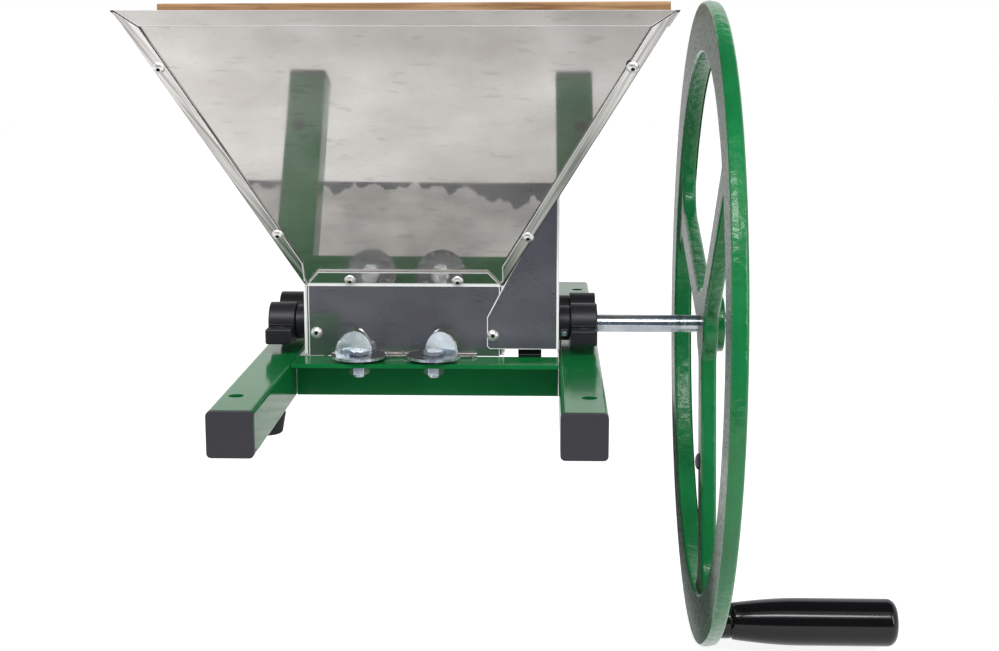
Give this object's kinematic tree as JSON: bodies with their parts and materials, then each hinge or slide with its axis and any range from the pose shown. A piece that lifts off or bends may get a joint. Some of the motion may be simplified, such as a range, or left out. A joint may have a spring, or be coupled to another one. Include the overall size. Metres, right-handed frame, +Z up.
{
  "type": "fruit scratter",
  "caption": "Hand-cranked apple mill: a stainless hopper over two geared rollers on a green tube frame, turned by a large spoked flywheel with a revolving handle.",
  "frame": {"origin": "on the plane of the rubber feet's soles, midway between the two rails and straight under the crank shaft", "axes": "+Z up, +X along the crank shaft towards the flywheel, +Y from the front of the mill to the rear, along the rails"},
  "size_m": [0.558, 0.5653, 0.47],
  "materials": {
    "green_paint": "smooth glossy green enamel",
    "stainless_sheet": "bright satin stainless sheet",
    "zinc_plate": "bright zinc plate, turned and stamped",
    "black_nylon": "moulded black nylon, satin",
    "cap_plastic": "grained dark grey plastic",
    "rubber": "matt black rubber",
    "grip_plastic": "polished black phenolic",
    "cast_aluminium": "as cast, matt",
    "beech": "planed beech, unvarnished"
  },
  "bodies": {
    "frame": {"cross_member_front": "green_paint", "end_cap_front_left": "cap_plastic", "rubber_foot_front_left": "rubber", "clamp_bolt_front_left": "zinc_plate", "clamp_nut_front_left": "zinc_plate", "bearing_bush_front_left": "black_nylon", "end_cap_front_right": "cap_plastic", "rubber_foot_front_right": "rubber", "clamp_bolt_front_right": "zinc_plate", "clamp_nut_front_right": "zinc_plate", "bearing_bush_front_right": "black_nylon", "bearing_bush_front_inner": "black_nylon", "hopper_panel_front": "stainless_sheet", "mill_panel_front": "stainless_sheet", "cross_member_rear": "green_paint", "end_cap_rear_left": "cap_plastic", "rubber_foot_rear_left": "rubber", "clamp_bolt_rear_left": "zinc_plate", "clamp_nut_rear_left": "zinc_plate", "bearing_bush_rear_left": "black_nylon", "end_cap_rear_right": "cap_plastic", "rubber_foot_rear_right": "rubber", "clamp_bolt_rear_right": "zinc_plate", "clamp_nut_rear_right": "zinc_plate", "bearing_bush_rear_right": "black_nylon", "bearing_bush_rear_inner": "black_nylon", "hopper_panel_rear": "stainless_sheet", "mill_panel_rear": "stainless_sheet", "rail_left": "green_paint", "hopper_panel_left": "stainless_sheet", "mill_wall_left": "stainless_sheet", "rail_right": "green_paint", "hopper_panel_right": "stainless_sheet", "mill_wall_right": "stainless_sheet", "guide_plate": "stainless_sheet", "gear_cover": "stainless_sheet"},
    "crank": {"crank_shaft": "zinc_plate", "roller_front": "cast_aluminium", "gear_front": "black_nylon", "flywheel": "green_paint", "hub_bolt": "zinc_plate", "spoke_plug": "black_nylon", "handle_spindle": "zinc_plate", "handle_collar": "grip_plastic"},
    "rear_roller": {"rear_shaft": "zinc_plate", "roller_rear": "cast_aluminium", "gear_rear": "black_nylon"},
    "grip": {"handle_grip": "grip_plastic"},
    "board": {"wooden_board": "beech"},
    "cap_front_left": {"lever_cap_front_left": "black_nylon"},
    "clamp_front_left": {"wing_clamp_front_left": "zinc_plate"},
    "cap_front_right": {"lever_cap_front_right": "black_nylon"},
    "clamp_front_right": {"wing_clamp_front_right": "zinc_plate"},
    "cap_rear_left": {"lever_cap_rear_left": "black_nylon"},
    "clamp_rear_left": {"wing_clamp_rear_left": "zinc_plate"},
    "cap_rear_right": {"lever_cap_rear_right": "black_nylon"},
    "clamp_rear_right": {"wing_clamp_rear_right": "zinc_plate"}
  },
  "joints": [
    {"name": "crank_spin", "type": "hinge", "parent": "frame", "child": "crank", "pos_m": [0, 0, 0.0647], "axis": [1, 0, 0], "continuous": true},
    {"name": "rear_roller_spin", "type": "hinge", "parent": "frame", "child": "rear_roller", "pos_m": [0, 0.05, 0.0647], "axis": [1, 0, 0], "continuous": true},
    {"name": "grip_spin", "type": "hinge", "parent": "crank", "child": "grip", "pos_m": [0.28, -0.04553, -0.14951], "axis": [1, 0, 0], "continuous": true},
    {"name": "board_lift", "type": "slide", "parent": "frame", "child": "board", "axis": [0, 0, 1], "range_m": [0, 0.25]},
    {"name": "cap_front_left_turn", "type": "hinge", "parent": "frame", "child": "cap_front_left", "pos_m": [-0.11, 0, 0.0647], "axis": [1, 0, 0], "range_deg": [-100, 10]},
    {"name": "cap_front_right_turn", "type": "hinge", "parent": "frame", "child": "cap_front_right", "pos_m": [0.114, 0, 0.0647], "axis": [1, 0, 0], "range_deg": [-100, 10]},
    {"name": "cap_rear_left_turn", "type": "hinge", "parent": "frame", "child": "cap_rear_left", "pos_m": [-0.11, 0.05, 0.0647], "axis": [1, 0, 0], "range_deg": [-10, 100]},
    {"name": "cap_rear_right_turn", "type": "hinge", "parent": "frame", "child": "cap_rear_right", "pos_m": [0.114, 0.05, 0.0647], "axis": [1, 0, 0], "range_deg": [-10, 100]},
    {"name": "clamp_front_left_turn", "type": "hinge", "parent": "frame", "child": "clamp_front_left", "pos_m": [-0.0481, -0.046, 0.048], "axis": [0, 0, 1], "range_deg": [-55, 1]},
    {"name": "clamp_front_right_turn", "type": "hinge", "parent": "frame", "child": "clamp_front_right", "pos_m": [0.0057, -0.046, 0.048], "axis": [0, 0, 1], "range_deg": [-1, 55]},
    {"name": "clamp_rear_left_turn", "type": "hinge", "parent": "frame", "child": "clamp_rear_left", "pos_m": [-0.0481, 0.166, 0.048], "axis": [0, 0, 1], "range_deg": [-1, 55]},
    {"name": "clamp_rear_right_turn", "type": "hinge", "parent": "frame", "child": "clamp_rear_right", "pos_m": [0.0057, 0.166, 0.048], "axis": [0, 0, 1], "range_deg": [-55, 1]}
  ],
  "couplings": [
    {"joint": "rear_roller_spin", "follows": "crank_spin", "ratio": -1}
  ]
}
